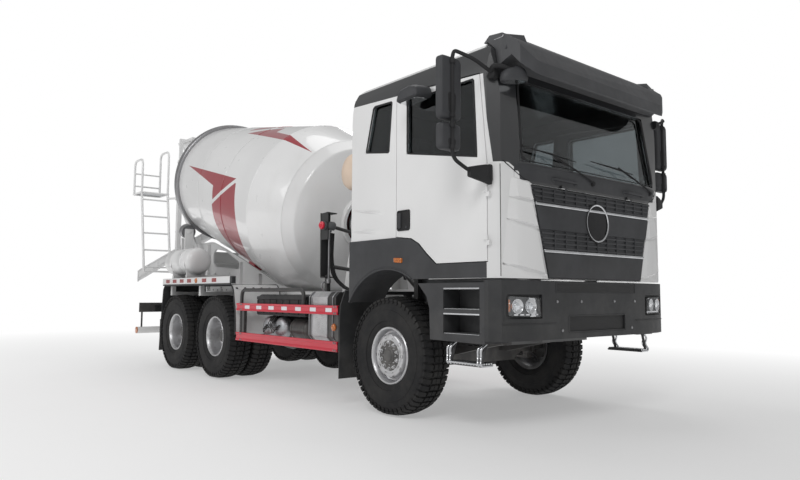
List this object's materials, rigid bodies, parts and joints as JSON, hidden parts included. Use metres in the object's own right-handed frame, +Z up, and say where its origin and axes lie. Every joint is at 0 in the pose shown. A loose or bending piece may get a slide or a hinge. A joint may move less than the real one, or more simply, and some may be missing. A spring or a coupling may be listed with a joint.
{
  "type": "concrete mixer truck",
  "caption": "Three-axle concrete mixer truck with a forward tilting cab, a turning tilted drum, charge hopper, access ladder and a swinging discharge chute.",
  "frame": {"origin": "on the ground, below the middle of the truck's overall length and width", "axes": "+X forward, +Y to the driver's (left) side, +Z up"},
  "size_m": [8.9288, 3.37, 3.9912],
  "materials": {
    "white": "satin",
    "dark": "satin",
    "black": "satin",
    "steel": "satin",
    "silver": "satin",
    "tyre": "matte",
    "glass": "clear",
    "red": "gloss",
    "seat": "matte",
    "mirror": "satin"
  },
  "bodies": {
    "chassis": {"frame_rails": "black", "subframe": "white", "front_pedestal": "white", "rear_pedestal": "white", "powertrain": "steel", "front_axle": "black", "rear_bogie": "black", "fuel_tank": "steel", "battery_and_air_tanks": "black", "exhaust_box": "silver", "side_guard_right": "red", "side_guard_left": "red", "rear_fender_right": "black", "rear_fender_left": "black", "water_tank": "white", "access_ladder": "white", "charge_hopper": "white", "front_bumper": "black", "steps_right": "black", "steps_left": "black", "front_mudguards": "black"},
    "cab": {"cab_shell": "white", "windscreen": "glass", "quarter_glass_right": "glass", "quarter_glass_left": "glass", "sun_visor": "dark", "arch_cover_right": "dark", "arch_cover_left": "dark", "dashboard": "dark", "seat_left": "seat", "seat_right": "seat", "mirror_right": "mirror", "mirror_left": "mirror"},
    "steering_wheel": {"steering_wheel": "black"},
    "grille_lid": {"grille_lid": "dark"},
    "door_right": {"door_right": "white", "door_glass_right": "glass"},
    "door_left": {"door_left": "white", "door_glass_left": "glass"},
    "knuckle_right": {"knuckle_right": "steel"},
    "knuckle_left": {"knuckle_left": "steel"},
    "tie_rod": {"tie_rod": "steel"},
    "drum": {"drum_shell": "white"},
    "drum_roller_right": {"drum_roller_right": "steel"},
    "drum_roller_left": {"drum_roller_left": "steel"},
    "chute_turret": {"chute_turret": "white"},
    "chute": {"chute": "white"},
    "front_wheel_right": {"front_tyre_right": "tyre", "front_rim_right": "silver"},
    "rear_wheel_1_right": {"twin_tyres_1_right": "tyre", "twin_rims_1_right": "silver"},
    "rear_wheel_2_right": {"twin_tyres_2_right": "tyre", "twin_rims_2_right": "silver"},
    "front_wheel_left": {"front_tyre_left": "tyre", "front_rim_left": "silver"},
    "rear_wheel_1_left": {"twin_tyres_1_left": "tyre", "twin_rims_1_left": "silver"},
    "rear_wheel_2_left": {"twin_tyres_2_left": "tyre", "twin_rims_2_left": "silver"}
  },
  "joints": [
    {"name": "cab_tilt", "type": "hinge", "parent": "chassis", "child": "cab", "pos_m": [4.26439, 0, 0.95], "axis": [0, 1, 0], "range_deg": [0, 45]},
    {"name": "door_right_open", "type": "hinge", "parent": "cab", "child": "door_right", "pos_m": [4.16739, -1.25, 1.7], "axis": [0, 0, 1], "range_deg": [0, 58]},
    {"name": "door_left_open", "type": "hinge", "parent": "cab", "child": "door_left", "pos_m": [4.16739, 1.25, 1.7], "axis": [0, 0, 1], "range_deg": [-58, 0]},
    {"name": "grille_lid_open", "type": "hinge", "parent": "cab", "child": "grille_lid", "pos_m": [4.33639, 0, 2.005], "axis": [0, -1, 0], "range_deg": [0, 60]},
    {"name": "steering_wheel_turn", "type": "hinge", "parent": "cab", "child": "steering_wheel", "pos_m": [3.72939, 0.56, 2.06], "axis": [-0.6373, 0, 0.7706], "range_deg": [-570, 570]},
    {"name": "steer_left", "type": "hinge", "parent": "chassis", "child": "knuckle_left", "pos_m": [2.82439, 0.85, 0.545], "axis": [0, 0, 1], "range_deg": [-35, 35]},
    {"name": "steer_right", "type": "hinge", "parent": "chassis", "child": "knuckle_right", "pos_m": [2.82439, -0.85, 0.545], "axis": [0, 0, 1], "range_deg": [-35, 35]},
    {"name": "tie_rod_pivot", "type": "hinge", "parent": "knuckle_left", "child": "tie_rod", "pos_m": [2.63439, 0.85, 0.401], "axis": [0, 0, 1], "range_deg": [-36, 36]},
    {"name": "front_wheel_right_spin", "type": "hinge", "parent": "knuckle_right", "child": "front_wheel_right", "pos_m": [2.82439, -1.01, 0.55], "axis": [0, 1, 0], "continuous": true},
    {"name": "front_wheel_left_spin", "type": "hinge", "parent": "knuckle_left", "child": "front_wheel_left", "pos_m": [2.82439, 1.01, 0.55], "axis": [0, 1, 0], "continuous": true},
    {"name": "rear_wheel_1_right_spin", "type": "hinge", "parent": "chassis", "child": "rear_wheel_1_right", "pos_m": [-0.77561, -0.925, 0.55], "axis": [0, 1, 0], "continuous": true},
    {"name": "rear_wheel_1_left_spin", "type": "hinge", "parent": "chassis", "child": "rear_wheel_1_left", "pos_m": [-0.77561, 0.925, 0.55], "axis": [0, 1, 0], "continuous": true},
    {"name": "rear_wheel_2_right_spin", "type": "hinge", "parent": "chassis", "child": "rear_wheel_2_right", "pos_m": [-2.12561, -0.925, 0.55], "axis": [0, 1, 0], "continuous": true},
    {"name": "rear_wheel_2_left_spin", "type": "hinge", "parent": "chassis", "child": "rear_wheel_2_left", "pos_m": [-2.12561, 0.925, 0.55], "axis": [0, 1, 0], "continuous": true},
    {"name": "drum_spin", "type": "hinge", "parent": "chassis", "child": "drum", "pos_m": [-2.87561, 0, 3.01], "axis": [0.969, 0, -0.247], "continuous": true},
    {"name": "drum_roller_right_spin", "type": "hinge", "parent": "chassis", "child": "drum_roller_right", "pos_m": [-3.09372, -0.68991, 2.15432], "axis": [0.969, 0, -0.247], "continuous": true},
    {"name": "drum_roller_left_spin", "type": "hinge", "parent": "chassis", "child": "drum_roller_left", "pos_m": [-3.09372, 0.68991, 2.15432], "axis": [0.969, 0, -0.247], "continuous": true},
    {"name": "chute_swing", "type": "hinge", "parent": "chassis", "child": "chute_turret", "pos_m": [-3.86561, 0, 1.3], "axis": [0, 0, 1], "range_deg": [-140, 0]},
    {"name": "chute_raise", "type": "hinge", "parent": "chute_turret", "child": "chute", "pos_m": [-3.94428, -0.21613, 1.87], "axis": [-0.9397, 0.342, 0], "range_deg": [-4, 25]}
  ],
  "couplings": [
    {"joint": "steer_right", "follows": "steer_left", "ratio": 1},
    {"joint": "tie_rod_pivot", "follows": "steer_left", "ratio": -1},
    {"joint": "steering_wheel_turn", "follows": "steer_left", "ratio": 16},
    {"joint": "drum_roller_right_spin", "follows": "drum_spin", "ratio": -8.3333},
    {"joint": "drum_roller_left_spin", "follows": "drum_spin", "ratio": -8.3333}
  ]
}
